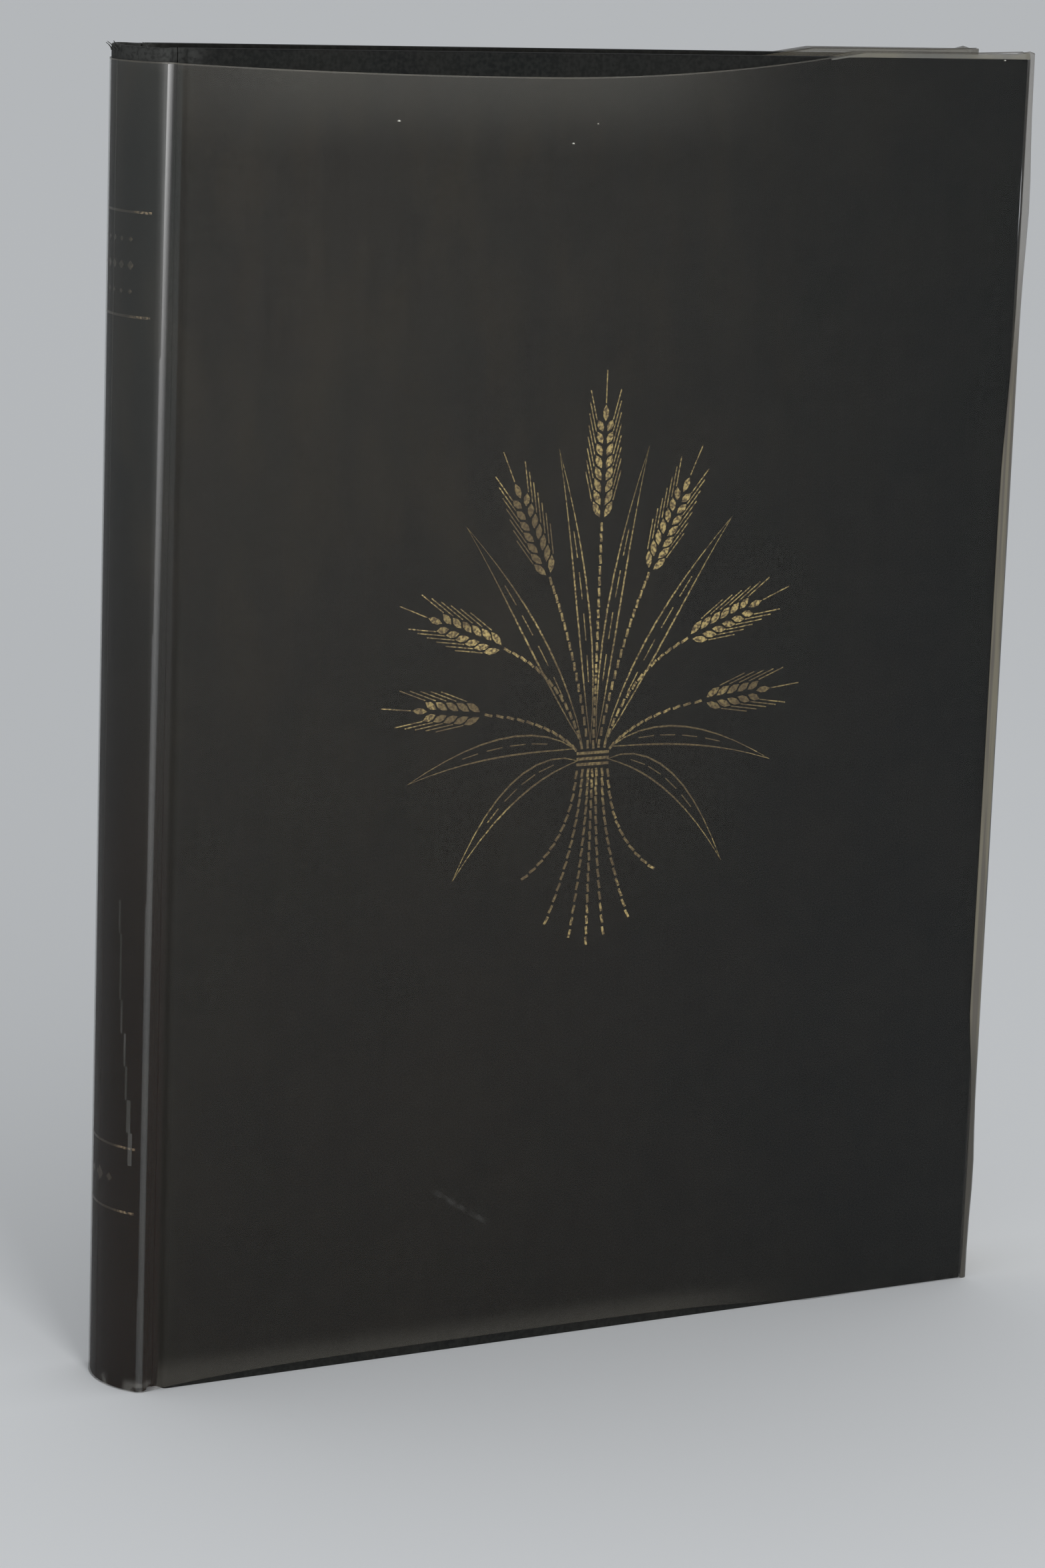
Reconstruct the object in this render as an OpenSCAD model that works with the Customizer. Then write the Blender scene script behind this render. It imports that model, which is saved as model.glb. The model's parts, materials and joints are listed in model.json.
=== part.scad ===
/* [Case] */
// Height of the two covers and the spine, from tail to head
case_h = 318; // [240:1:360]
// Width of a cover, from the shoulder of the spine to the fore-edge
cover_w = 234.7; // [170:0.1:270]
// Thickness of a cover board
board_t = 3; // [2:0.1:3.6]
// Thickness of the covering cloth
cloth_t = 0.4; // [0.3:0.05:0.6]
// Width of the cloth turned in over a board's inner face
turn_in = 16; // [10:1:25]
// How far the rounded spine stands out past its shoulders
spine_bulge = 6; // [4:0.1:9]

/* [Joint] */
// Radius of the cloth over the ridge of the spine's shoulder
ridge_r = 2; // [1.6:0.1:2.6]
// Radius at the bottom of the pressed groove beside the ridge
groove_r = 1.8; // [1.4:0.1:2.6]
// Radius of the cloth over the board's edge in the groove
edge_r = 1.2; // [0.9:0.1:1.6]
// How much shallower the groove is than the board is thick
groove_short = 0.3; // [0.2:0.05:0.6]
// Half the cut between the moving cover and the spine
joint_cut = 0.1; // [0.05:0.05:0.3]
// Distance of the hinge line in front of the jacket's face
hinge_out = 0.15; // [0.1:0.05:0.4]

/* [Text block] */
// Thickness of the block of pages
block_t = 17.4; // [10:0.1:40]
// How far the boards stand out past the pages at head, tail and fore-edge
square_w = 4; // [3:0.1:6]
// Radius of the folded leaves at the block's shoulder
tip_r = 0.8; // [0.6:0.1:1]
// Radius of the hollow in front of the block's shoulder
hollow_r = 2.5; // [2:0.1:3.5]
// Thickness of an endpaper leaf
paper_t = 0.2; // [0.15:0.05:0.3]
// Margin of cloth left bare round a pasted-down endpaper
paste_margin = 3; // [2:0.5:6]
// Room between the folded leaves and the cloth in the groove
fold_gap = 0.15; // [0.1:0.05:0.3]
// Thickness of the glue between curved layers
glue_t = 0.02; // [0.02:0.01:0.05]

/* [Spine] */
// Thickness of the card that stiffens the spine
stiff_t = 0.9; // [0.6:0.1:1.4]
// Free space behind the spine card, which is the hollow back
back_gap = 0.8; // [0.7:0.05:2]
// Thickness of the gauze glued over the folded sections
mull_t = 0.3; // [0.2:0.05:0.5]
// Bare height between the gauze and the ends of the block
mull_margin = 12; // [10:1:25]
// Thickness of the paper lining on the block's back
lining_t = 0.2; // [0.15:0.05:0.4]
// Radius of the roll of a head or tail band
band_r = 1.1; // [0.8:0.1:1.4]
// Height of the tape that holds a band on the block's back
band_tape = 9; // [6:0.5:11]
// Height of a roll's middle above the pages
band_stand = 0.77; // [0.4:0.01:0.8]
// Angle by which a band stops short of the shoulder, at both ends
band_short = 5; // [3:1:8]

/* [Film jacket] */
// Thickness of the clear film
film_t = 0.2; // [0.1:0.05:0.3]
// Air between the cloth and the film
film_gap = 0.2; // [0.15:0.05:0.5]
// Air between the film's flap and the pasted-down endpaper
flap_gap = 0.1; // [0.05:0.05:0.3]
// Air between the film's flap and the first leaf
opening_gap = 0.15; // [0.1:0.05:0.5]
// Width of the flap that is tucked inside the cover
flap_w = 76; // [40:1:110]
// Room between the board's fore-edge and the film's fold
fold_room = 1.4; // [1.2:0.1:3]
// Outer radius of the film at its fold
fold_r = 1.4; // [0.8:0.1:1.6]
// How far the film stands above the head near the fore-edge
film_rise = 1.4; // [0.5:0.1:3]
// Depth of the film's sag at the head, below that height
sag_max = 7; // [2:0.1:10]
// Depth of the same sag over the spine
sag_spine = 4.6; // [1:0.1:7]
// Place of the deepest sag, from the shoulder
sag_at = 99; // [60:1:120]
// Place where the sag ends, from the shoulder
sag_end = 186; // [130:1:200]
// How far the film's tail edge lifts at mid-cover
foot_lift = 1.9; // [0.5:0.1:4]

/* [Gilding] */
// Thickness of the gold foil on the cloth
gilt_t = 0.08; // [0.04:0.01:0.12]
// Width of a stamped line
line_w = 0.42; // [0.25:0.01:0.6]
// Width of a stalk
stalk_w = 0.62; // [0.4:0.01:0.9]
// Distance from one stroke of a stalk to the next
stroke_pitch = 2.7; // [2:0.1:4]
// Height of the ornament on the front cover
ornament_h = 150; // [100:1:180]
// Height of the ornament's middle above the tail
ornament_z = 173; // [120:1:200]
// Height of a gilt rule across the spine
rule_h = 0.55; // [0.3:0.05:1]
// Heights of the four spine rules, as shares of the case height
rule_at = [0.138, 0.188, 0.807, 0.882];
// Distance between the lozenges of a spine panel
lozenge_pitch = 3.2; // [2.4:0.1:4]
// Side of a lozenge in the middle row
lozenge_w = 1.5; // [1:0.1:2]

/* [Hidden] */
// A hair of overrun for cuts that pass right through
over = 0.05;

// Levels, each a distance from the middle plane of the book
block_l = block_t / 2;
leaf_l = block_l + paper_t;
flap_in_l = leaf_l + opening_gap;
flap_out_l = flap_in_l + film_t;
paste_l = flap_out_l + flap_gap;
turn_l = paste_l + paper_t;
board_in_l = turn_l + cloth_t;
board_out_l = board_in_l + board_t;
cloth_l = board_out_l + cloth_t;
film_in_l = cloth_l + film_gap;
film_l = film_in_l + film_t;

// Spine arc and ridge: the ridge's circle touches the arc from inside
ridge_c = [0, -(cloth_l - ridge_r)];
inner_r = (pow(cloth_l - ridge_r, 2) + pow(spine_bulge - ridge_r, 2))
  / (2 * (spine_bulge - ridge_r));
spine_r = inner_r + ridge_r;
spine_c = [spine_r - spine_bulge, 0];
spine_a = atan2(cloth_l - ridge_r, spine_c[0]);

// Groove and board edge: circles that touch one after another
groove_d = board_t - groove_short;
groove_x = sqrt(groove_d * (2 * (groove_r + ridge_r) - groove_d));
groove_c = [groove_x, groove_d - cloth_l - groove_r];
edge_x = groove_x + sqrt(groove_d * (2 * (groove_r + edge_r) - groove_d));
edge_c = [edge_x, -(cloth_l - edge_r)];
ridge_a = atan2(groove_c[1] - ridge_c[1], groove_c[0] - ridge_c[0]);
flank_a = atan2(edge_c[1] - groove_c[1], edge_c[0] - groove_c[0]);
board_x = edge_x - (edge_r - cloth_t);

// Back of the block, and the circle of the leaves folded over at its shoulder
mull_r = spine_r - cloth_t - stiff_t - back_gap - lining_t - mull_t;
back_r = mull_r - glue_t;
lining_r = mull_r + mull_t + glue_t;
tip_reach = groove_r + 2 * cloth_t + fold_gap + tip_r;
tip_c = meet(spine_c, back_r - tip_r, groove_c, tip_reach);
back_a = atan2(-tip_c[1], spine_c[0] - tip_c[0]);
hollow_y = -(block_l + hollow_r);
hollow_x = tip_c[0] + sqrt(pow(hollow_r + tip_r, 2) - pow(hollow_y - tip_c[1], 2));
hollow_c = [hollow_x, hollow_y];
hollow_a = atan2(tip_c[1] - hollow_c[1], tip_c[0] - hollow_c[0]);

page_z = square_w;
page_h = case_h - 2 * square_w;
page_x = cover_w - square_w;
fold_x = cover_w + fold_room + film_t;
spine_out = spine_bulge + film_gap + film_t;
stiff_a = spine_a - cloth_t / (spine_r - cloth_t) * 180 / PI;
stiff_r = spine_r - cloth_t - glue_t;
turned_r = stiff_r - stiff_t - glue_t;

// The part's frame has its origin under the middle of the closed book
shoulder_x = (spine_out - fold_x) / 2;
hinge_x = shoulder_x + groove_x;
hinge_y = film_l + hinge_out;
rest_y = (turn_l + cloth_l) / 2;
echo(hinge_x = hinge_x, hinge_y = hinge_y, rest_y = rest_y);

ink = "#26282a";
gold = "#b59242";
clear = [0.86, 0.86, 0.78, 0.35];

// Points along an arc, from one angle to another
function arc(c, r, from, to, n) = [
  for (i = [0:n]) let (a = from + (to - from) * i / n) c + r * [cos(a), sin(a)]
];
function flip(p) = [for (i = [len(p) - 1:-1:0]) p[i]];
function across(p) = [for (q = p) [q[0], -q[1]]];
// Where two circles cross, on the side nearer the spine
function meet(c1, r1, c2, r2) =
  let (
    d = norm(c2 - c1),
    e = (c2 - c1) / d,
    a = (r1 * r1 - r2 * r2 + d * d) / (2 * d),
    h = sqrt(r1 * r1 - a * a)
  ) c1 + a * e + h * [e[1], -e[0]];

// The case's outline on the front, moved inwards by d. It is cut at the bottom of the groove
function joint_a(d) = asin(joint_cut / (groove_r + d));
function spine_half(d) = concat(
  arc(groove_c, groove_r + d, 90 + joint_a(d), ridge_a + 180, 10),
  arc(ridge_c, ridge_r - d, ridge_a + 360, 180 + spine_a, 14)
);
function spine_line(d) = concat(
  spine_half(d),
  arc(spine_c, spine_r - d, 180 + spine_a, 180 - spine_a, 30),
  flip(across(spine_half(d)))
);
function cover_line(d) = concat(
  arc(groove_c, groove_r + d, 90 - joint_a(d), flank_a, 10),
  arc(edge_c, edge_r - d, flank_a + 180, 270, 8),
  [[cover_w - d, -(cloth_l - d)]]
);
// A ring of the spine between two radii, out to an angle on both sides
function spine_ring(r_in, r_out, a) = concat(
  arc(spine_c, r_out, 180 + a, 180 - a, 30),
  arc(spine_c, r_in, 180 - a, 180 + a, 30)
);
// The spine's turned-in cloth lies on the card, round its ends and along the ridge
function turned_line(d) = let (end_a = d > 0 ? spine_a : stiff_a) concat(
  spine_half(cloth_t + d),
  arc(spine_c, turned_r - d, 180 + end_a, 180 - end_a, 30),
  flip(across(spine_half(cloth_t + d)))
);

// The film's edges: bowed at head and tail, straight near the fore-edge
function sag(x) =
  x < sag_at ? sag_max - (sag_max - sag_spine) * pow((sag_at - max(x, 0)) / sag_at, 2)
  : x < sag_end ? sag_max * (1 - pow((x - sag_at) / (sag_end - sag_at), 2))
  : 0;
function lift(x) = let (t = 2 * x / sag_end - 1) max(0, foot_lift * (1 - t * t));
film_xs = concat([-spine_out - 1], [for (x = [0:6:sag_end]) x], [sag_end, fold_x + 1]);
film_edges = concat(
  [for (x = film_xs) [x, lift(x)]],
  [for (x = flip(film_xs)) [x, case_h + film_rise - sag(x)]]
);

module at_shoulder() {
  translate([shoulder_x, 0, 0]) children();
}

module upright(z, h) {
  at_shoulder() translate([0, 0, z]) linear_extrude(height = h) children();
}

// The rear cover is the front one mirrored across the middle plane
module facing(side) {
  if (side == "front") children();
  else mirror([0, 1, 0]) children();
}

module slab(x0, x1, l0, l1, z0, z1) {
  at_shoulder() translate([x0, -l1, z0]) cube([x1 - x0, l1 - l0, z1 - z0]);
}

module text_block() {
  half = concat(
    arc(spine_c, back_r, 180, 180 + back_a, 14),
    arc(tip_c, tip_r, 180 + back_a, 180 + hollow_a, 8),
    arc(hollow_c, hollow_r, hollow_a, 90, 8),
    [[page_x, -block_l]]
  );
  fore_a = asin(block_l / back_r);
  fore_c = [page_x + back_r * cos(fore_a), 0];
  hollow_edge = arc(fore_c, back_r, 180 + fore_a, 180 - fore_a, 16);
  color("#ddd6c2") upright(page_z, page_h)
    polygon(concat(half, hollow_edge, flip(across(half))));
}

module flyleaf(side) {
  root_a = min(hollow_a, 178);
  color("#e9e4d4") facing(side) upright(page_z, page_h) polygon(concat(
    arc(hollow_c, hollow_r, root_a, 90, 8),
    [[page_x, -block_l], [page_x, -leaf_l]],
    arc(hollow_c, hollow_r - paper_t, 90, root_a, 8)
  ));
}

module mull() {
  color("#cfc9b4") upright(page_z + mull_margin, page_h - 2 * mull_margin)
    polygon(spine_ring(mull_r, mull_r + mull_t, back_a));
}

module back_lining() {
  color("#a58a63") upright(page_z, page_h)
    polygon(spine_ring(lining_r, lining_r + lining_t, back_a));
}

module band() {
  band_a = back_a - band_short;
  color("#b9ad8c") at_shoulder() translate([spine_c[0], 0, 0])
    rotate_extrude(angle = 2 * band_a, start = 180 - band_a, $fn = 90) {
      intersection() {
        translate([mull_r + mull_t - band_r, band_stand]) circle(r = band_r, $fn = 24);
        translate([mull_r - 2 * band_r, 0]) square([3 * band_r, 2 * band_r]);
      }
      translate([mull_r, -band_tape]) square([mull_t, band_tape + band_stand]);
    }
}

module head_band() {
  translate([0, 0, page_z + page_h]) band();
}

module tail_band() {
  translate([0, 0, page_z]) mirror([0, 0, 1]) band();
}

module spine_stiffener() {
  color("#8f8265") upright(cloth_t, case_h - 2 * cloth_t)
    polygon(spine_ring(stiff_r - stiff_t, stiff_r, stiff_a));
}

// The turned-in part is joined to the outside over the ends of the card
module spine_cloth() {
  color(ink) {
    upright(0, case_h) polygon(concat(spine_line(0), flip(spine_line(cloth_t))));
    for (z = [0, case_h - turn_in]) {
      upright(z, turn_in) polygon(concat(turned_line(0), flip(turned_line(cloth_t))));
    }
    for (z = [0, case_h - cloth_t]) {
      upright(z, cloth_t)
        polygon(spine_ring(turned_r - cloth_t / 2, spine_r - cloth_t / 2, stiff_a));
    }
  }
}

module board(side) {
  color("#9a8f78") facing(side) upright(cloth_t, case_h - 2 * cloth_t) polygon(concat(
    arc(edge_c, edge_r - cloth_t - glue_t, 180, 270, 8),
    [
      [cover_w - cloth_t, glue_t - board_out_l],
      [cover_w - cloth_t, -board_in_l],
      [board_x + glue_t, -board_in_l]
    ]
  ));
}

module cover_cloth(side) {
  cut_x = groove_x + joint_cut;
  first = cover_line(cloth_t)[0];
  color(ink) facing(side) difference() {
    upright(0, case_h) polygon(concat(
      cover_line(0), [[cover_w, -turn_l], [cut_x, -turn_l]]
    ));
    upright(cloth_t, case_h - 2 * cloth_t) polygon(concat(
      [[cut_x - 1, first[1]]],
      cover_line(cloth_t),
      [[cover_w - cloth_t, -board_in_l], [cut_x - 1, -board_in_l]]
    ));
    slab(cut_x - 1, cover_w - turn_in, turn_l - 1, board_in_l + over, turn_in, case_h - turn_in);
  }
}

// The endpaper lies over the turned-in cloth and steps down to the board inside it
module pastedown(side) {
  x0 = groove_x + joint_cut;
  x1 = cover_w - turn_in;
  z1 = case_h - turn_in;
  color("#e9e4d4") facing(side) difference() {
    union() {
      slab(x0, cover_w - paste_margin, paste_l, turn_l, paste_margin, case_h - paste_margin);
      slab(x0, x1, paste_l, board_in_l, turn_in, z1);
    }
    slab(x0 - 1, x1 - paper_t, paste_l - 1, board_in_l - paper_t, turn_in + paper_t, z1 - paper_t);
  }
}

module film_cut() {
  intersection() {
    children();
    at_shoulder() translate([0, 2 * film_l, 0]) rotate([90, 0, 0])
      linear_extrude(height = 4 * film_l) polygon(film_edges);
  }
}

module spine_film() {
  edge_x = groove_x - joint_cut;
  outer = concat(
    [[edge_x, -film_l]],
    arc(ridge_c, ridge_r + film_gap + film_t, 270, 180 + spine_a, 8),
    arc(spine_c, spine_r + film_gap + film_t, 180 + spine_a, 180, 15)
  );
  inner = concat(
    [[edge_x, -film_in_l]],
    arc(ridge_c, ridge_r + film_gap, 270, 180 + spine_a, 8),
    arc(spine_c, spine_r + film_gap, 180 + spine_a, 180, 15)
  );
  color(clear) film_cut() upright(0, case_h + film_rise) polygon(concat(
    outer, flip(across(outer)), across(inner), flip(inner)
  ));
}

// Plane over the board, a fold past the fore-edge, and the flap inside the cover
module cover_film(side) {
  cut_x = groove_x + joint_cut;
  mid_x = fold_x - fold_r;
  outer = concat(
    [[cut_x, -film_l]],
    arc([mid_x, -(film_l - fold_r)], fold_r, 270, 360, 8),
    arc([mid_x, -(flap_in_l + fold_r)], fold_r, 0, 90, 8),
    [[fold_x - flap_w, -flap_in_l]]
  );
  inner = concat(
    [[cut_x, -film_in_l]],
    arc([mid_x, -(film_l - fold_r)], fold_r - film_t, 270, 360, 8),
    arc([mid_x, -(flap_in_l + fold_r)], fold_r - film_t, 0, 90, 8),
    [[fold_x - flap_w, -flap_out_l]]
  );
  color(clear) film_cut() facing(side) upright(0, case_h + film_rise)
    polygon(concat(outer, flip(inner)));
}

// Lines and leaves of the gilding, drawn flat. A curve has two ends and a point it leans to
function along(p, t) = (1 - t) * (1 - t) * p[0] + 2 * t * (1 - t) * p[1] + t * t * p[2];
function heading(p, t) =
  let (v = (1 - t) * (p[1] - p[0]) + t * (p[2] - p[1])) atan2(v[1], v[0]);
function reach(p) = (norm(p[1] - p[0]) + norm(p[2] - p[1]) + norm(p[2] - p[0])) / 2;
function beside(p, t, w) = along(p, t) + w * [-sin(heading(p, t)), cos(heading(p, t))];

// A stem is a row of short strokes
module stem(p) {
  n = round(reach(p) / stroke_pitch);
  for (i = [0:n - 1]) {
    t = (i + 0.5) / n;
    translate(along(p, t)) rotate(heading(p, t) + 7)
      square([0.78 * stroke_pitch, stalk_w], center = true);
  }
}

// A blade is an outline along a curve, widest before its middle, with a broken midrib
module blade(p, w, n) {
  outside = [for (i = [0:n]) let (t = i / n) beside(p, t, w * sin(180 * pow(t, 0.8)))];
  back = [for (i = [n - 1:-1:1]) let (t = i / n) beside(p, t, -w * sin(180 * pow(t, 0.8)))];
  inset = 1.5 * line_w / reach(p);
  function slim(i) = (w - line_w) * sin(180 * pow(i / n, 0.8));
  inside = [for (i = [0:n]) beside(p, inset + (1 - 2 * inset) * i / n, slim(i))];
  inner_back = [for (i = [n - 1:-1:1]) beside(p, inset + (1 - 2 * inset) * i / n, -slim(i))];
  polygon(
    concat(outside, back, inside, inner_back),
    paths = [[for (i = [0:2 * n - 1]) i], [for (i = [2 * n:4 * n - 1]) i]]
  );
  for (t = [0.25:0.14:0.8]) {
    translate(along(p, t)) rotate(heading(p, t))
      square([0.09 * reach(p), 0.6 * line_w], center = true);
  }
}

module grain(l, w) {
  polygon([[0, 0], [0.3 * l, -0.9 * w], [0.65 * l, -w], [l, 0], [0.65 * l, w], [0.3 * l, 0.9 * w]]);
}

// An ear of corn: paired grains with a fine beard
module ear(rows) {
  for (i = [0:rows - 1], side = [-1, 1]) {
    size = 4.4 * (1 - 0.045 * i);
    translate([3 * i, 0.65 * side]) rotate(side * 27) grain(size, 0.8);
    translate([3 * i + 0.92 * size, side * (0.75 + 0.5 * size)]) rotate(side * 15)
      square([7.5, 0.6 * line_w]);
  }
  translate([3 * rows - 0.6, 0]) grain(4, 0.75);
  translate([3 * rows + 3.8, -0.3 * line_w]) square([8, 0.6 * line_w]);
}

module half_sheaf() {
  tie = [0, -24];
  for (k = [0:2]) {
    top = [[14, 20], [26, 3], [31, -13]][k];
    lean = [[6, 2], [9, -4], [13, -15]][k];
    stalk = [tie + [1.6 * k + 1.3, 0.5], lean, top];
    stem(stalk);
    translate(top) rotate(heading(stalk, 1)) translate([0.8, 0]) ear(7 - k);
    foot = [tie + [1.6 * k + 1.2, -4], tie + [2 * k + 1, -22], [7 * k + 5, -71 + 4 * k * k]];
    stem(foot);
  }
  blade([tie + [0.8, 2], [3, 16], [12.5, 51]], 1.9, 9);
  blade([tie + [3, 2], [17, 8], [37, 33]], 2.4, 10);
  blade([tie + [5, 1], [24, -17], [51, -29]], 2.5, 10);
  blade([tie + [4, -2], [22, -25], [38, -54]], 2.4, 10);
}

module ornament() {
  scale(ornament_h / 150) {
    half_sheaf();
    mirror([1, 0]) half_sheaf();
    middle = [[0, -23.5], [0, 5], [0, 33]];
    stem(middle);
    translate([0, 34]) rotate(90) ear(8);
    stem([[0, -28], [0, -50], [0, -73]]);
    for (z = [-27, -25.6, -24.2]) {
      translate([0, z]) square([9, 0.7], center = true);
    }
  }
}

module front_gilt() {
  color(gold) at_shoulder() translate([cover_w / 2, -cloth_l, ornament_z])
    rotate([90, 0, 0]) linear_extrude(height = gilt_t) ornament();
}

// Rules across the spine, with a lozenge row in each of their two panels
module spine_gilt() {
  skin = spine_ring(spine_r, spine_r + gilt_t, spine_a - 3);
  color(gold) {
    for (s = rule_at) {
      upright(s * case_h, rule_h) polygon(skin);
    }
    intersection() {
      upright(0, case_h) polygon(skin);
      at_shoulder() rotate([90, 0, -90]) linear_extrude(height = 2 * spine_bulge) {
        for (row = [0:2], col = [-2:2]) {
          z = case_h * (rule_at[2] + (rule_at[3] - rule_at[2]) * (row + 1) / 4);
          translate([lozenge_pitch * col, z]) rotate(45)
            square(row == 1 ? lozenge_w : 0.6 * lozenge_w, center = true);
        }
        for (col = [-1:1]) {
          z = case_h * (rule_at[0] + rule_at[1]) / 2;
          translate([1.4 * lozenge_pitch * col, z]) rotate(45)
            square(lozenge_w * (1.7 - 0.65 * abs(col)), center = true);
        }
      }
    }
  }
}

text_block();
flyleaf("front");  // front_flyleaf
flyleaf("rear");  // rear_flyleaf
mull();
back_lining();
head_band();
tail_band();
spine_stiffener();
spine_cloth();
spine_film();
spine_gilt();
board("front");  // front_board
cover_cloth("front");  // front_cloth
pastedown("front");  // front_pastedown
cover_film("front");  // front_film
front_gilt();
board("rear");  // rear_board
cover_cloth("rear");  // rear_cloth
pastedown("rear");  // rear_pastedown
cover_film("rear");  // rear_film
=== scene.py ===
# %% [markdown]
# # A cloth-bound book in a clear film jacket
# The book stands closed and upright. Its boards are covered in charcoal cloth, a gold
# ornament is stamped on the front, and a sheet of clear film is folded round the whole case.
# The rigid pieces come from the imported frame. This lesson makes what bends or wears:
# the cloth, the film and the pasted-down endpapers, and then every finish.

# %% Load the frame
import json
import math

import bpy
from mathutils import Matrix, Vector


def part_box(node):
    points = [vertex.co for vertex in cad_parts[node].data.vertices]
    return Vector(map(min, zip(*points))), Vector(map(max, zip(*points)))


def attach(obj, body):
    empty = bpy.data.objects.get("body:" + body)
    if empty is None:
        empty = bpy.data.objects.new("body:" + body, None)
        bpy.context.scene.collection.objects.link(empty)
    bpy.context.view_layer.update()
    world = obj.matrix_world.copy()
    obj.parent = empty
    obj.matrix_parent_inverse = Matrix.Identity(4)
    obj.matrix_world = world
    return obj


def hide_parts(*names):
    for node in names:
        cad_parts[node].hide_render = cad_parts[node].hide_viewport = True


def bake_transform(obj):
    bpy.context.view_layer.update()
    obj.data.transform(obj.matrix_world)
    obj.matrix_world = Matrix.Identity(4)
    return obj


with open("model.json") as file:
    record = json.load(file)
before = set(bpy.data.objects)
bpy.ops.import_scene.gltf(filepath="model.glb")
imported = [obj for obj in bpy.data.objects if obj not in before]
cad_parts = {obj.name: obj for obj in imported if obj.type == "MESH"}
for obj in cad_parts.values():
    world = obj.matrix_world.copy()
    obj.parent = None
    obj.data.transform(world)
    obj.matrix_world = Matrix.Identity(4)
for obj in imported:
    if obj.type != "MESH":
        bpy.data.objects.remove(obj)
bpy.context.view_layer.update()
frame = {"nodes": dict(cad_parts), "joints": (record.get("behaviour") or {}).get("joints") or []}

cad = frame["nodes"]
bpy.ops.object.select_all(action="DESELECT")

# %% [markdown]
# ## The sizes
# All sizes follow the frame. The boxes of its nodes give the outer levels, and the hinge
# of the front cover lies over the bottom of the pressed groove. Beside the spine the
# covering runs through four circles that touch one after another: the rounded spine, the
# ridge at its shoulder, the groove, and the rounded edge of the board.

# %% Levels and circles
MM = 0.001
CLOTH_T = 0.4 * MM
FILM_T = 0.2 * MM
PAPER_T = 0.2 * MM
TURN_IN = 16 * MM
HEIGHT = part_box("front_cloth")[1].z
FORE_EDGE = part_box("front_cloth")[1].x
CLOTH_FACE = -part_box("front_cloth")[0].y
TURN_FACE = -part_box("front_pastedown")[1].y + PAPER_T
FILM_FACE = -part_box("front_film")[0].y
FILM_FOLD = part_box("front_film")[1].x
SPINE_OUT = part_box("spine_cloth")[0].x

GROOVE_X = frame["joints"][0]["pos_m"][0]
RIDGE_R = 2.0 * MM
GROOVE_R = 1.8 * MM
EDGE_R = 1.2 * MM
GROOVE_DEPTH = 2.7 * MM


def across(radius):
    """How far apart the groove's middle and a touching circle's middle lie, along X."""
    return math.sqrt(GROOVE_DEPTH * (2 * (GROOVE_R + radius) - GROOVE_DEPTH))


SHOULDER = GROOVE_X - across(RIDGE_R)
EDGE_X = GROOVE_X + across(EDGE_R)
ridge_c = Vector((SHOULDER, RIDGE_R - CLOTH_FACE))
groove_c = Vector((GROOVE_X, GROOVE_DEPTH - CLOTH_FACE - GROOVE_R))
edge_c = Vector((EDGE_X, EDGE_R - CLOTH_FACE))
BULGE = SHOULDER - SPINE_OUT
SPINE_R = ((CLOTH_FACE - RIDGE_R) ** 2 + (BULGE - RIDGE_R) ** 2) / (2 * (BULGE - RIDGE_R)) + RIDGE_R
spine_c = Vector((SPINE_OUT + SPINE_R, 0))


def angle_between(a, b):
    """Direction from one circle's middle to another's, in degrees."""
    return math.degrees(math.atan2(b.y - a.y, b.x - a.x))


SPINE_A = angle_between(ridge_c, spine_c)
RIDGE_A = angle_between(ridge_c, groove_c)
FLANK_A = angle_between(groove_c, edge_c)
print(f"spine radius {SPINE_R / MM:.2f} mm, half angle {SPINE_A:.1f} degrees")

# %% [markdown]
# ## Folding a sheet
# Cloth, film and paper are all flat sheets that run round the book, so one way of working
# makes them all. A sheet starts as one upright edge, grown from a single vertex. Then it is
# led round the book as a binder would lead it: an extrude runs it straight on, and a spin
# bends it round an upright line. The last edges stay selected, ready for the next step.

# %% Helpers that lead a sheet round


def go_to_mode(name):
    """Go to EDIT or OBJECT mode."""
    bpy.ops.object.mode_set(mode=name)


def extrude(move):
    """Extrude what is selected and move the new part by this much."""
    bpy.ops.mesh.extrude_region_move(TRANSFORM_OT_translate={"value": move})


def upright_edge(name, x, y, heights):
    """A new mesh of one upright edge, with a vertex at each height. It stays in edit mode."""
    bpy.ops.object.select_all(action="DESELECT")
    bpy.ops.mesh.primitive_plane_add(size=MM)
    sheet = bpy.context.object
    sheet.name = sheet.data.name = name
    go_to_mode("EDIT")
    bpy.ops.mesh.select_mode(type="VERT")
    bpy.ops.mesh.merge(type="CENTER")
    bpy.ops.transform.translate(value=(x, y, heights[0]))
    for low, high in zip(heights, heights[1:]):
        extrude((0, 0, high - low))
    bpy.ops.mesh.select_all(action="SELECT")
    return sheet


def run(dx, dy, steps=1):
    """Lead the sheet straight on."""
    for _ in range(steps):
        extrude((dx / steps, dy / steps, 0))


def bend(centre, degrees, steps):
    """Lead the sheet round an upright line. Positive is anticlockwise, seen from above."""
    bpy.ops.mesh.spin(
        steps=steps, angle=-math.radians(degrees), center=(*centre, 0), axis=(0, 0, 1)
    )


# %% [markdown]
# By hand, faces are picked with the mouse and a modifier waits in a list. Here a part is
# picked by its place, so that it is found again at any size, and a modifier is applied as
# soon as it is added, because the next step works on what it made.

# %% Helpers that pick, shift and finish a piece
TOUCH = 0.02 * MM


def near(a, b, room=TOUCH):
    """True when two numbers lie closer together than this."""
    return abs(a - b) < room


def select_only(*pieces):
    """Select these pieces and nothing else. The first is the active one."""
    go_to_mode("OBJECT")
    bpy.ops.object.select_all(action="DESELECT")
    for piece in pieces:
        piece.select_set(True)
    bpy.context.view_layer.objects.active = pieces[0]


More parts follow.
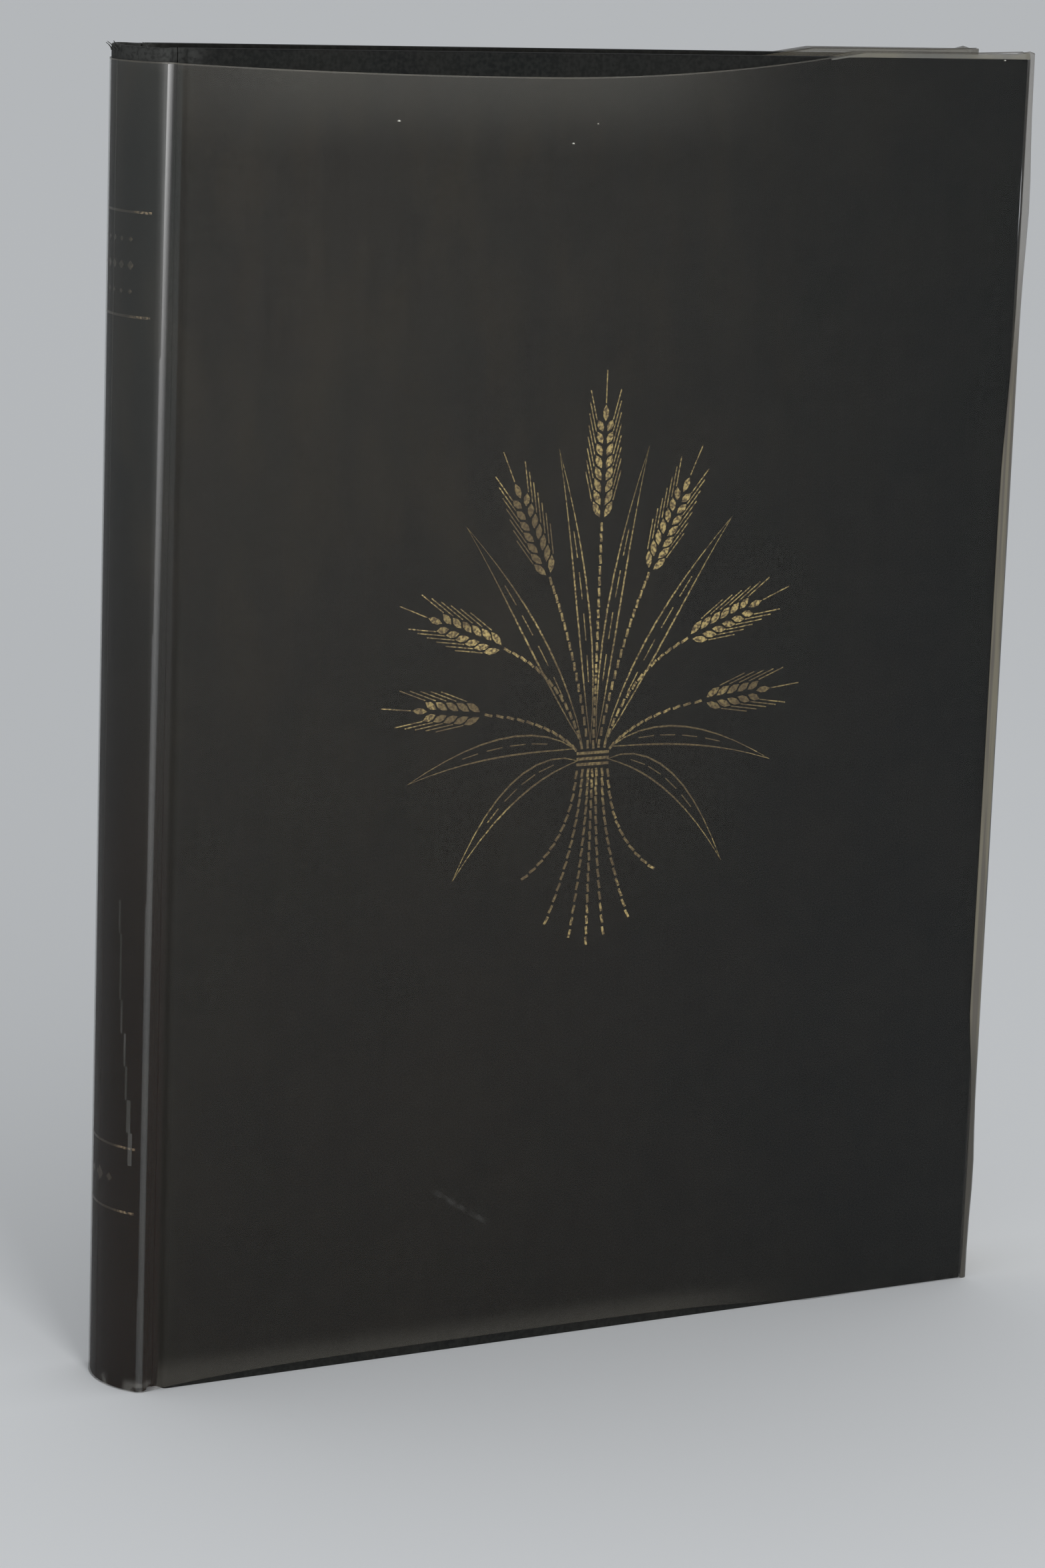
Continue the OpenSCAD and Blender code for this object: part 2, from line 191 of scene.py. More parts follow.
def pick(piece, test, kind="FACE"):
    """Select the vertices, edges or faces whose middle passes the test, in edit mode."""
    go_to_mode("EDIT")
    bpy.ops.mesh.select_mode(type=kind)
    bpy.ops.mesh.select_all(action="DESELECT")
    go_to_mode("OBJECT")
    mesh = piece.data
    if kind == "VERT":
        for vertex in mesh.vertices:
            vertex.select = test(vertex.co)
    elif kind == "EDGE":
        for edge in mesh.edges:
            edge.select = all(test(mesh.vertices[i].co) for i in edge.vertices)
    else:
        for face in mesh.polygons:
            face.select = test(face.center)
    go_to_mode("EDIT")


def shift(piece, test, move):
    """Move the vertices that pass the test."""
    pick(piece, test, "VERT")
    bpy.ops.transform.translate(value=move)
    go_to_mode("OBJECT")


def apply(piece, kind, **settings):
    """Add a modifier with these settings and apply it."""
    go_to_mode("OBJECT")
    bpy.context.view_layer.objects.active = piece
    modifier = piece.modifiers.new(kind.title(), kind)
    for key, value in settings.items():
        setattr(modifier, key, value)
    bpy.ops.object.modifier_apply(modifier=modifier.name)


def mirrored(piece, name):
    """The same piece on the rear side: a copy with its own mesh, mirrored across Y."""
    select_only(piece)
    bpy.ops.object.duplicate()
    copy = bpy.context.object
    copy.name = copy.data.name = name
    go_to_mode("EDIT")
    bpy.ops.mesh.select_all(action="SELECT")
    bpy.ops.transform.resize(value=(1, -1, 1), center_override=(0, 0, 0))
    bpy.ops.mesh.flip_normals()
    go_to_mode("OBJECT")
    return copy


def smooth(piece, degrees=35):
    """Round shading, with edges sharper than this kept crisp."""
    select_only(piece)
    bpy.ops.object.shade_smooth_by_angle(angle=math.radians(degrees))
    piece.select_set(False)


def outward(piece, test, normal):
    """Turn the whole skin over if the first face that passes the test looks the wrong way."""
    go_to_mode("OBJECT")
    face = next(f for f in piece.data.polygons if test(f.center))
    if face.normal.dot(Vector(normal)) < 0:
        go_to_mode("EDIT")
        bpy.ops.mesh.select_all(action="SELECT")
        bpy.ops.mesh.flip_normals()
        go_to_mode("OBJECT")


# %% [markdown]
# ## The covering cloth
# One sheet of cloth covers both boards and the card in the spine. It is glued down, so it
# follows every form under it, and its margins are turned in over the boards at head, tail
# and fore-edge. It could be a thickened copy of the boards, but then the joint would tear
# when a cover opens. Here it is led round in two halves that meet in the middle of the spine.

# %% Lead the cloth round from the spine to the inside of the cover
BENDING_STRIP = 0.43 * MM
COVER_START = GROOVE_X + BENDING_STRIP
SPINE_STEPS = 16
RIDGE_STEPS = 14
GROOVE_STEPS = 6
case = upright_edge("front_case_cloth", SPINE_OUT, 0, [0, HEIGHT])
bend(spine_c, SPINE_A, SPINE_STEPS)
bend(ridge_c, 180 + RIDGE_A - SPINE_A, RIDGE_STEPS)
bend(groove_c, -90 - RIDGE_A, GROOVE_STEPS)
bend(groove_c, FLANK_A - 90, GROOVE_STEPS)
bend(edge_c, 90 - FLANK_A, GROOVE_STEPS)
run(FORE_EDGE - EDGE_X, 0)
run(0, CLOTH_FACE - TURN_FACE)
run(COVER_START - FORE_EDGE, 0)
print("cover's cloth", round((FORE_EDGE - COVER_START) / MM, 1), "mm wide")

# %% [markdown]
# Now the cover's part has an outer face, an edge at the fore-edge and an inner face. Filling
# the ends at head and tail closes it into a tray, and an inset of the inner face leaves the
# turned-in margins, with their mitred corners. Its middle is cut away, because the endpaper
# lies there.

# %% Close the ends and cut the turned-in margins
for z in (0, HEIGHT):
    pick(case, lambda p, z=z: near(p.z, z) and p.x > COVER_START - TOUCH, "EDGE")
    bpy.ops.mesh.edge_face_add()
pick(case, lambda p: True)
bpy.ops.mesh.normals_make_consistent(inside=False)
outward(case, lambda p: near(p.y, -CLOTH_FACE), (0, -1, 0))
pick(case, lambda p: near(p.y, -TURN_FACE))
bpy.ops.mesh.inset(thickness=TURN_IN, use_boundary=False)
bpy.ops.mesh.delete(type="FACE")
go_to_mode("OBJECT")
print("cloth skin", len(case.data.polygons), "faces")

# %% [markdown]
# In the spine the cloth folds over the card at head and tail and runs down behind it. The
# turned-in part is led round a second time, closer to the pages, and a bridge between the two
# top edges makes the fold. Close to the joint there is no card, so the two layers touch there.

# %% Turn the cloth in behind the spine
CARD_DEPTH = 1.74 * MM
DOUBLE_T = 2 * CLOTH_T
CARD_A = 37.6
JOINT_MARGIN = 0.1 * MM


def point_on(centre, radius, degrees):
    """The point of a circle in this direction from its middle."""
    direction = math.radians(degrees)
    return centre + radius * Vector((math.cos(direction), math.sin(direction)))


def turned_in(low, high):
    """The layer behind the spine between two heights, as its own mesh."""
    layer = upright_edge("turned_in", SPINE_OUT + CARD_DEPTH, 0, [low, high])
    bend(spine_c, CARD_A, SPINE_STEPS)
    card_end = point_on(spine_c, SPINE_R - CARD_DEPTH, 180 + CARD_A)
    ridge_start = point_on(ridge_c, RIDGE_R - DOUBLE_T, 180 + SPINE_A)
    run(*(ridge_start - card_end))
    bend(ridge_c, 180 + RIDGE_A - SPINE_A, RIDGE_STEPS)
    bend(groove_c, -90 - RIDGE_A, GROOVE_STEPS)
    go_to_mode("OBJECT")
    return layer


def spine_end(p, z):
    """True for the edges of the spine's two layers at this height."""
    at_joint = near(p.x, GROOVE_X) and p.y > -TURN_FACE - JOINT_MARGIN
    return near(p.z, z) and p.x < GROOVE_X + TOUCH and not at_joint


select_only(case, turned_in(0, TURN_IN), turned_in(HEIGHT - TURN_IN, HEIGHT))
bpy.ops.object.join()
for z in (0, HEIGHT):
    pick(case, lambda p, z=z: spine_end(p, z), "EDGE")
    bpy.ops.mesh.bridge_edge_loops()
pick(case, lambda p: True)
bpy.ops.mesh.remove_doubles(threshold=0.001 * MM)
bpy.ops.mesh.normals_make_consistent(inside=False)
outward(case, lambda p: near(p.y, -CLOTH_FACE), (0, -1, 0))
print("cloth with its turned-in margins", len(case.data.polygons), "faces")

# %% [markdown]
# Glued cloth never makes a knife edge. A small bevel rounds every fold over the board, and
# only then does the skin get its thickness, inwards, because the bevel belongs to the outside.
# The rear half is a mirrored copy.

# %% Round the folds, copy to the rear, give both their thickness
CLOTH_FOLD_R = 0.35 * MM
SHARP_FOLD = math.radians(75)
apply(case, "BEVEL", width=CLOTH_FOLD_R, segments=3, limit_method="ANGLE",
      angle_limit=SHARP_FOLD, use_clamp_overlap=False)
rear_case = mirrored(case, "rear_case_cloth")
for half in (case, rear_case):
    apply(half, "SOLIDIFY", thickness=CLOTH_T, offset=-1)
    smooth(half)
    print(half.name, len(half.data.polygons), "faces")

# %% [markdown]
# ## The film jacket
# The jacket is one sheet of clear film. It runs over the spine and both covers, folds round
# the fore-edges with a little air, and its flaps are tucked inside the covers. Its head edge
# sags in a long bow and its tail edge lifts at mid-cover. It is folded in two halves like
# the cloth, with many rows, so that the bow, the slack and a crease can be shaped in it.

# %% How the film's edges run
FILM_R = RIDGE_R + FILM_FACE - CLOTH_FACE
FOLD_R = 1.4 * MM
FOLD_AIR = 0.75 * MM
FOLD_X = FILM_FOLD + FOLD_AIR
FLAP_WIDTH = 76 * MM
FLAP_END = FILM_FOLD - FLAP_WIDTH
FLAP_FACE = 9.05 * MM
FILM_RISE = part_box("front_film")[1].z - HEIGHT
EDGE_BAND = 0.35 * MM
SAG_DEEP = 7 * MM
SAG_SPINE = 4.6 * MM
SAG_AT = SHOULDER + 99 * MM
SAG_END = SHOULDER + 186 * MM
FOOT_LIFT = 2.6 * MM
CORNER_LIFT = 0.6 * MM
CORNER_REACH = 1.3 * MM
UNDER_HEAD = 0.4 * MM
ROW = 8 * MM


def hump(at, middle, reach, height):
    """A smooth hump of this height that has nearly gone at twice its reach."""
    return height * math.exp(-(((at - middle) / reach) ** 2))


def film_head(x):
    """Height of the film's head edge, below its pale cut band."""
    if x < SAG_AT:
        share = (SAG_AT - max(x, SHOULDER)) / (SAG_AT - SHOULDER)
        sag = SAG_DEEP - (SAG_DEEP - SAG_SPINE) * share ** 2
    else:
        sag = SAG_DEEP * max(0, 1 - ((x - SAG_AT) / (SAG_END - SAG_AT)) ** 2)
    corner = hump(x, FORE_EDGE, CORNER_REACH, CORNER_LIFT)
    return HEIGHT + FILM_RISE - EDGE_BAND - sag + corner


def film_tail(x):
    """Height of the film's tail edge, above its pale cut band."""
    share = 2 * (x - SHOULDER) / (SAG_END - SHOULDER) - 1
    return EDGE_BAND + FOOT_LIFT * max(0, 1 - share ** 4)


def under_head(x):
    """Height of the row of points just under the film's head edge."""
    return min(HEIGHT, film_head(x) - UNDER_HEAD)


print("lowest head edge", round(film_head(SAG_AT) / MM, 1), "mm")

# %% Lead the film round from the spine to the end of its flap
JOINT_HALF = 0.25 * MM
SPINE_COLUMNS = 24
RIDGE_COLUMNS = 10
COVER_COLUMNS = 46
FOLD_COLUMNS = 6
rows = [i * ROW for i in range(int(HEIGHT / ROW))] + [HEIGHT, HEIGHT + FILM_RISE]
jacket = upright_edge("front_jacket", SPINE_OUT - (FILM_FACE - CLOTH_FACE), 0, rows)
bend(spine_c, SPINE_A, SPINE_COLUMNS)
bend(ridge_c, 90 - SPINE_A, RIDGE_COLUMNS)
run(GROOVE_X - JOINT_HALF - SHOULDER, 0, 2)
run(2 * JOINT_HALF, 0)
fold_start = FOLD_X - FOLD_R
NEAR_FOLD = FORE_EDGE - 4 * MM
run(NEAR_FOLD - GROOVE_X - JOINT_HALF, 0, COVER_COLUMNS)
run(FORE_EDGE - NEAR_FOLD, 0)
run(fold_start - FORE_EDGE, 0)
bend((fold_start, FOLD_R - FILM_FACE), 90, FOLD_COLUMNS)
run(0, FILM_FACE - FLAP_FACE - 2 * FOLD_R, 2)
bend((fold_start, -FLAP_FACE - FOLD_R), 90, FOLD_COLUMNS)
run(FLAP_END - fold_start, 0, 6)
go_to_mode("OBJECT")
columns = sorted({round(v.co.x, 6) for v in jacket.data.vertices if near(v.co.z, 0)})
print("film", len(jacket.data.polygons), "faces in", len(columns), "columns")

# %% [markdown]
# Each upright column now gets its own head and tail height. The row under the head edge goes
# down with it where the bow would cross it. The last third of a millimetre is extruded as
# a band of its own, because the cut edge of film scatters light and shows as a pale line.

# %% Bow the head and tail edges
for x in columns:
    shift(jacket, lambda p: near(p.x, x) and near(p.z, rows[-1]), (0, 0, film_head(x) - rows[-1]))
    shift(jacket, lambda p: near(p.x, x) and near(p.z, HEIGHT), (0, 0, under_head(x) - HEIGHT))
    shift(jacket, lambda p: near(p.x, x) and near(p.z, 0), (0, 0, film_tail(x)))
pick(jacket, lambda p: near(p.z, film_head(p.x)), "EDGE")
extrude((0, 0, EDGE_BAND))
pick(jacket, lambda p: near(p.z, film_tail(p.x)), "EDGE")
extrude((0, 0, -EDGE_BAND))
outward(jacket, lambda p: near(p.y, -FILM_FACE) and p.z < HEIGHT / 2, (0, -1, 0))
print("film with its cut bands", len(jacket.data.polygons), "faces")

# %% [markdown]
# The fold at the fore-edge is not straight. It stands off most near the head and the tail, and
# over the middle of its height the hazed strip of the fold starts further in on the cover.

# %% Let the fold wander
SWELLS = [(282 * MM, 16 * MM, 0.9 * MM), (29 * MM, 12 * MM, 0.65 * MM)]
HAZE_TOP = 252 * MM
HAZE_TOP_RUN = 38 * MM
HAZE_FOOT = 52 * MM
HAZE_FOOT_RUN = 18 * MM
HAZE_PAST_EDGE = 0.3 * MM
HAZE_WANDER = 1.8 * MM


def stand_off(z):
    """How much further out the fold stands at this height."""
    return sum(hump(z, *swell) for swell in SWELLS)


def clamp(share):
    """The same share, kept from 0 to 1."""
    return max(0, min(1, share))


def haze_start(z):
    """Where the hazed strip starts at this height, past the cover's edge."""
    down = clamp((HAZE_TOP - z) / HAZE_TOP_RUN)
    up = clamp((z - HAZE_FOOT) / HAZE_FOOT_RUN)
    return HAZE_PAST_EDGE - HAZE_WANDER * down * up


for z in rows[:-1]:
    out = stand_off(z)
    if out > TOUCH:
        shift(jacket, lambda p: p.x > FORE_EDGE + TOUCH and near(p.z, z), (out, 0, 0))
    shift(jacket, lambda p: near(p.x, FORE_EDGE) and near(p.z, z), (haze_start(z), 0, 0))
print("the fold stands off by up to", round(max(map(stand_off, rows)) / MM, 2), "mm")

# %% [markdown]
# At the tail the film lies close over the ridge beside the joint. Towards the head it stands
# off, and its crest lies further over the groove. Weights say how much of a shift each point
# takes: none at the spine and at the joint, most at the crest, and more with the height.

# %% Let the film stand off the ridge towards the head
CREST_OVER = 1.9 * MM
CREST_PROUD = 0.35 * MM
ridge_end = ridge_c.x - FILM_R * math.cos(math.radians(SPINE_A))
joint_start = GROOVE_X - JOINT_HALF


def weigh(piece, name, weight):
    """A vertex group whose weights follow a function of each point's place."""
    group = piece.vertex_groups.new(name=name)
    for vertex in piece.data.vertices:
        group.add([vertex.index], clamp(weight(vertex.co)), "REPLACE")


def crest_shift(z):
    """How far over the groove the crest lies at this height."""
    return CREST_OVER * (z / HEIGHT) ** 2


def crest_share(p):
    """How much of the full shift this point takes."""
    if p.y > ridge_c.y:
        return 0
    if p.x < SHOULDER:
        share = (p.x - ridge_end) / (SHOULDER - ridge_end)
    else:
        share = (joint_start - p.x) / (joint_start - SHOULDER)
    return share * crest_shift(p.z) / CREST_OVER


weigh(jacket, "crest", crest_share)
apply(jacket, "DISPLACE", direction="X", strength=CREST_OVER, mid_level=0, vertex_group="crest")
apply(jacket, "DISPLACE", direction="Y", strength=-CREST_PROUD, mid_level=0, vertex_group="crest")
print("crest at the head", round(crest_shift(HEIGHT) / MM, 1), "mm over the groove")

# %% [markdown]
# Film never lies quite flat. A displacement by soft clouds lets it stand off the cloth by up
# to a third of a millimetre. It is held back at the joint and at the flap, so that the halves
# still meet and nothing touches the pages. The rear half is a mirrored copy, folded tighter.

# %% Let the film wave a little
WAVE = 0.3 * MM
WAVE_LENGTH = 45 * MM
SLACK_RUN = 25 * MM
OUTER_LAYER = 0.1 * MM
REAR_TIGHTER = 1.5 * MM
PAST_COVER = NEAR_FOLD + 2 * MM


def slack(p):
    """How much the film may wave here."""
    outside = p.y < OUTER_LAYER - FILM_FACE
    return (p.x - GROOVE_X) / SLACK_RUN if outside else 0


clouds = bpy.data.textures.new("film_waves", "CLOUDS")
clouds.noise_scale = WAVE_LENGTH
clouds.noise_depth = 1
weigh(jacket, "slack", slack)
apply(jacket, "DISPLACE", texture=clouds, texture_coords="LOCAL", direction="NORMAL",
      strength=WAVE, mid_level=0, vertex_group="slack")
rear_jacket = mirrored(jacket, "rear_jacket")
shift(rear_jacket, lambda p: p.x > PAST_COVER, (-REAR_TIGHTER, 0, 0))
print("waves up to", WAVE / MM, "mm high")

# %% [markdown]
# Low on the spine the film was creased once. The crease is one line of points, one in each
# row, pulled out just under half a millimetre. It leans further round towards the tail.

# %% Crease the film on the spine
CREASE_Y = -6.5 * MM
CREASE_LOW = 59 * MM
CREASE_HIGH = 142 * MM
CREASE_OUT = 0.45 * MM
CREASE_LEAN = 4.7 * MM
CREASE_FADE = 50 * MM
WIGGLE = 0.25 * MM
WIGGLE_RUN = 7 * MM


def crease_place(z):
    """How far round the spine the crease lies at this height, as y."""
    down = max(0, (CREASE_HIGH - z) / (CREASE_HIGH - CREASE_LOW))
    return CREASE_Y - CREASE_LEAN * down ** 1.75 + WIGGLE * math.sin(z / WIGGLE_RUN)


def shift_crease(z):
    """Pull out the point of this row that lies closest to the crease."""
    strength = min(1, (CREASE_HIGH - z) / CREASE_FADE)
    on_row = [v.co for v in jacket.data.vertices if near(v.co.z, z) and v.co.x < SHOULDER]
    point = min(on_row, key=lambda p: abs(p.y - crease_place(z))).copy()
    out = (point.xy - spine_c).normalized() * CREASE_OUT * strength
    side = crease_place(z) - point.y
    shift(jacket, lambda p: (p - point).length < TOUCH, (out.x, out.y + side, 0))


creased = [z for z in rows if CREASE_LOW < z < CREASE_HIGH]
for z in creased:
    shift_crease(z)
print("creased in", len(creased), "rows")

# %% [markdown]
# ## The endpapers
# A pasted-down endpaper covers the inside of each cover. It sinks by the thickness of the
# cloth where the turned-in margins end, and its fold crosses the joint to the first leaf.
# The sheet is led from that fold over the cover, and an inset of its middle is pressed down.

# %% Lead the paper from the fold to the margin of the cover
PASTE_FACE = -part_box("front_pastedown")[1].y
PASTE_LOW, PASTE_HIGH = (corner.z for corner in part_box("front_pastedown"))
PASTE_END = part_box("front_pastedown")[1].x
FOLD_LEVEL = 9.0 * MM
PAPER_FOLD_X = SHOULDER + 4.6 * MM
PASTE_START = SHOULDER + 2.94 * MM
BOARD_START = SHOULDER + 7 * MM
PRESSED_EDGE = 0.7 * MM

endpaper = upright_edge(
    "front_endpaper", PAPER_FOLD_X, -FOLD_LEVEL, [PASTE_LOW, TURN_IN, HEIGHT - TURN_IN, PASTE_HIGH]
)
run(PASTE_START - PAPER_FOLD_X, FOLD_LEVEL - PASTE_FACE)
run(BOARD_START - PASTE_START, 0)
run(FORE_EDGE - TURN_IN - BOARD_START, 0)
run(PASTE_END - FORE_EDGE + TURN_IN, 0)
pick(endpaper, lambda p: BOARD_START < p.x < FORE_EDGE - TURN_IN and near(p.z, HEIGHT / 2, MM))
bpy.ops.mesh.inset(thickness=PRESSED_EDGE)
bpy.ops.transform.translate(value=(0, -CLOTH_T, 0))
go_to_mode("OBJECT")
outward(endpaper, lambda p: p.x > FORE_EDGE - TURN_IN, (0, 1, 0))
rear_endpaper = mirrored(endpaper, "rear_endpaper")
for paper in (endpaper, rear_endpaper):
    apply(paper, "SOLIDIFY", thickness=PAPER_T, offset=-1)
    smooth(paper)
    print(paper.name, len(paper.data.polygons), "faces")

# %% [markdown]
# ## Wear and dust
# At the head of the spine the cloth has frayed, and a few threads stick up. A few chips of
# dust cling to the film near its head edge. Both are small solids, drawn out of a flat ring,
# placed in millimetres: a thread by x, y, z and the way it leans, a chip by x, z and
# its size.

# %% Frayed threads and chips of dust
THREAD_LENGTH = 1.9 * MM
THREAD_END_R = 0.26 * MM


def ring(name, radius, corners, foot):
    """A small filled ring at a place, left in edit mode."""
    go_to_mode("OBJECT")
    bpy.ops.object.select_all(action="DESELECT")
    bpy.ops.mesh.primitive_circle_add(vertices=corners, radius=radius, fill_type="NGON")
    made = bpy.context.object
    made.name = made.data.name = name
    go_to_mode("EDIT")
    bpy.ops.mesh.select_all(action="SELECT")
    bpy.ops.transform.translate(value=foot)
    return made


def thread_end(foot, lean):
    """A thread that grows from its foot, leans over more and more, and thins out."""
    made = ring("thread", THREAD_END_R, 6, foot)
    for level in range(1, 4):
        extrude((lean[0] * level, lean[1] * level, lean[2]))
        bpy.ops.transform.resize(value=(0.75, 0.75, 1))
    go_to_mode("OBJECT")
    return made


def chip(x, z, size):
    """A chip of dust on the film in front of this place."""
    spot = jacket.closest_point_on_mesh((x, -FILM_FACE, z))[1]
    made = ring("chip", size, 5, spot)
    extrude((0, 0, 0.8 * size))
    bpy.ops.transform.resize(value=(0.5, 0.6, 1))
    go_to_mode("OBJECT")
    return made


def joined(pieces, name):
    """Several small solids as one piece."""
    select_only(*pieces)
    bpy.ops.object.join()
    pieces[0].name = pieces[0].data.name = name
    smooth(pieces[0], 50)
    print(name, len(pieces[0].data.polygons), "faces")
    return pieces[0]


FRAYED = [
    (-121.0, 3.6, 316.6, (-0.10, 0.08, 0.3)), (-121.15, 2.6, 317.3, (-0.13, -0.05, 0.2)),
    (-121.2, 1.6, 316.9, (-0.12, 0.1, 0.3)), (-121.25, 0.7, 317.4, (-0.1, -0.1, 0.26)),
    (-121.25, -0.4, 316.8, (-0.14, 0.04, 0.24)), (-121.2, -1.5, 317.5, (-0.08, -0.08, 0.2)),
    (-118.6, -9.8, 317.8, (0.10, -0.08, 0.20)), (-118.3, -10.4, 317.8, (-0.07, 0.10, 0.22)),
]
threads = joined([
    thread_end((x * MM, y * MM, z * MM), [THREAD_LENGTH * part for part in lean])
    for x, y, z, lean in FRAYED
], "frayed_threads")
CHIPS = [(-56.1, 301.9, 0.42), (-9.6, 296.8, 0.36), (-3.1, 301.5, 0.24), (112.4, 317.6, 0.3)]
dust = joined([chip(x * MM, z * MM, size * MM) for x, z, size in CHIPS], "film_dust")

# %% [markdown]
# ## Finishes
# Every finish is procedural. Most read the object's own coordinates, in metres, so a grain of
# half a millimetre is written as one. Small functions add the nodes, so that each finish below
# reads as a short recipe.

# %% Helpers for finishes


def finish(name, color, roughness, **values):
    """A new material with one Principled shader, set to plain values to start from."""
    made = bpy.data.materials.new(name)
    made.use_nodes = True
    shader = made.node_tree.nodes["Principled BSDF"]
    shader.inputs["Base Color"].default_value = (*color, 1)
    shader.inputs["Roughness"].default_value = roughness
    for key, value in values.items():
        shader.inputs[key.replace("_", " ")].default_value = value
    made.diffuse_color = (*color, 1)
    return made


def node(made, kind, inputs=(), **settings):
    """Add a node. Inputs are (name or number, value or socket) pairs."""
    added = made.node_tree.nodes.new(f"ShaderNode{kind}")
    for key, value in settings.items():
        setattr(added, key, value)
    for key, value in inputs:
        if isinstance(value, bpy.types.NodeSocket):
            made.node_tree.links.new(value, added.inputs[key])
        else:
            added.inputs[key].default_value = value
    return added


def maths(made, operation, a, b=0.0, c=0.0):
    """One sum on numbers or sockets."""
    return node(made, "Math", [(0, a), (1, b), (2, c)], operation=operation).outputs[0]


def axes(made):
    """The object coordinates, whole and as x, y and z."""
    place = node(made, "TexCoord").outputs["Object"]
    parts = node(made, "SeparateXYZ", [(0, place)]).outputs
    return place, parts[0], parts[1], parts[2]


def noise(made, place, scale, detail=2.0, stretch=(1, 1, 1)):
    """Noise of about one cell per 1 / scale metres, from 0 to 1."""
    spread = node(made, "Mapping", [("Vector", place), ("Scale", stretch)]).outputs[0]
    return node(
        made, "TexNoise", [("Vector", spread), ("Scale", scale), ("Detail", detail)]
    ).outputs[0]


def step(made, value, low, high, start=0.0, end=1.0):
    """Goes smoothly from start to end as the value goes from low to high."""
    pairs = [("Value", value), ("From Min", low), ("From Max", high)]
    pairs += [("To Min", start), ("To Max", end)]
    return node(made, "MapRange", pairs, interpolation_type="SMOOTHSTEP").outputs[0]


def blend_colors(made, amount, a, b):
    """One colour over another. A colour is three numbers or a socket."""
    full = [c if isinstance(c, bpy.types.NodeSocket) else (*c, 1) for c in (a, b)]
    mixer = node(made, "Mix", [(0, amount), (6, full[0]), (7, full[1])], data_type="RGBA")
    return mixer.outputs[2]


def use(made, key, socket):
    """Let a socket drive this input of the finish."""
    made.node_tree.links.new(socket, made.node_tree.nodes["Principled BSDF"].inputs[key])


def overlay(made, amount, color):
    """Lay a colour over the base colour that a finish has so far."""
    under = made.node_tree.nodes["Principled BSDF"].inputs["Base Color"].links[0].from_socket
    use(made, "Base Color", blend_colors(made, amount, under, color))


def within(made, value, middle, half):
    """1 at the middle, falling to 0 at this distance from it."""
    off = maths(made, "ABSOLUTE", maths(made, "SUBTRACT", value, middle))
    return step(made, off, 0.5 * half, half, 1, 0)


def emboss(made, height, depth, strength=1.0):
    """Bump from a height of 0 to 1, depth metres deep."""
    pairs = [("Height", height), ("Distance", depth), ("Strength", strength)]
    use(made, "Normal", node(made, "Bump", pairs).outputs[0])


# %% [markdown]
# ### Charcoal book cloth
# A plain weave is the product of two sine waves, one along each thread direction. The cloth
# runs round the spine, so its across-direction is x plus the distance from the mid-plane. Long
# slubs make some threads thicker, and a short nap lies over the weave. The colour is a warm
# black with paler, worn threads and a faint mottling. The head of the spine, which the film
# leaves bare, is rubbed paler.

# %% Book cloth
THREAD = 0.5 * MM
COLD_BLACK = (0.0050, 0.0056, 0.0056)
WARM_BLACK = (0.0084, 0.0084, 0.0074)
THREAD_TOPS = (0.0180, 0.0185, 0.0168)
RUBBED_CLOTH = (0.040, 0.041, 0.039)
cloth = finish("book_cloth", (0.010, 0.0105, 0.010), 0.88, Specular_IOR_Level=0.15)
place, x, y, z = axes(cloth)
along = maths(cloth, "ADD", x, maths(cloth, "ABSOLUTE", y))
wander = maths(cloth, "MULTIPLY", noise(cloth, place, 130, 2), 2.5 * THREAD)
along = maths(cloth, "ADD", along, wander)
upward = maths(cloth, "ADD", z, wander)
warp = maths(cloth, "SINE", maths(cloth, "MULTIPLY", along, 2 * math.pi / THREAD))
weft = maths(cloth, "SINE", maths(cloth, "MULTIPLY", upward, 2 * math.pi / THREAD))
weave = maths(cloth, "MULTIPLY_ADD", maths(cloth, "MULTIPLY", warp, weft), 0.35, 0.5)
slub_up = noise(cloth, place, 900, 1, (1, 1, 0.06))
slub_across = noise(cloth, place, 900, 1, (0.06, 0.06, 1))
slubs = maths(cloth, "MULTIPLY", maths(cloth, "ADD", slub_up, slub_across), 0.5)
mottle = noise(cloth, place, 45, 4)
grain = maths(cloth, "MULTIPLY", weave, slubs)
nap = step(cloth, noise(cloth, place, 1100, 3), 0.32, 0.68, 0, 0.5)
raised = maths(cloth, "MULTIPLY_ADD", step(cloth, grain, 0.2, 0.6), 0.6, nap)
dark = blend_colors(cloth, step(cloth, mottle, 0.35, 0.7), COLD_BLACK, WARM_BLACK)
use(cloth, "Base Color", blend_colors(cloth, raised, dark, THREAD_TOPS))
emboss(cloth, grain, 0.04 * MM, 0.4)
bare_head = step(cloth, z, HEIGHT - 6 * MM, HEIGHT - 2 * MM)
on_spine = step(cloth, x, SHOULDER + 3 * MM, SHOULDER + 12 * MM, 1, 0)
rubbed = step(cloth, noise(cloth, place, 1100, 2), 0.3, 0.6, 0.45, 1)
worn_cap = maths(cloth, "MULTIPLY", maths(cloth, "MULTIPLY", bare_head, on_spine), rubbed)
overlay(cloth, worn_cap, RUBBED_CLOTH)
print("book cloth of", len(cloth.node_tree.nodes), "nodes, a thread each", THREAD / MM, "mm")
